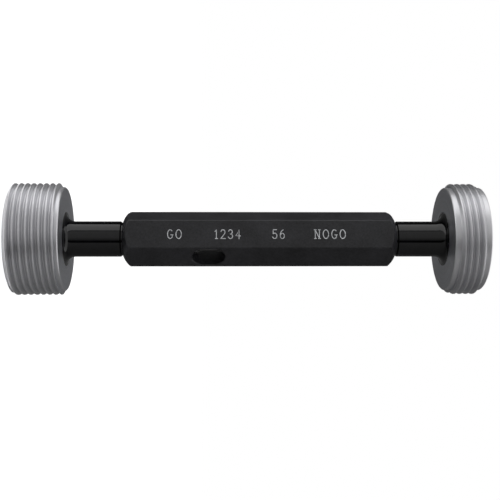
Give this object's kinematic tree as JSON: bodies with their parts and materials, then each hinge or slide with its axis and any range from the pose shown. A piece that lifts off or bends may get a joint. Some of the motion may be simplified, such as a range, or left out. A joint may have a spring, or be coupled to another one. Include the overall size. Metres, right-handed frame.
{
  "type": "thread plug gauge",
  "caption": "Double-ended thread plug gauge: a threaded GO member and a shorter NOGO member on taper shanks in a slim hexagonal steel handle.",
  "frame": {"origin": "centre of the GO member's free end face, on which the gauge stands", "axes": "+Z along the gauge's axis from the GO end to the NOGO end; the drift slot runs through the handle along Y, and two corners of the hexagon lie on the X axis"},
  "size_m": [0.024, 0.024, 0.1007],
  "materials": {
    "black_oxide_steel": "satin black oxide on steel",
    "ground_steel": "ground and lapped, neck and flare blackened"
  },
  "bodies": {
    "root": {"handle": "black_oxide_steel", "go_member": "ground_steel", "nogo_member": "ground_steel"}
  },
  "joints": []
}
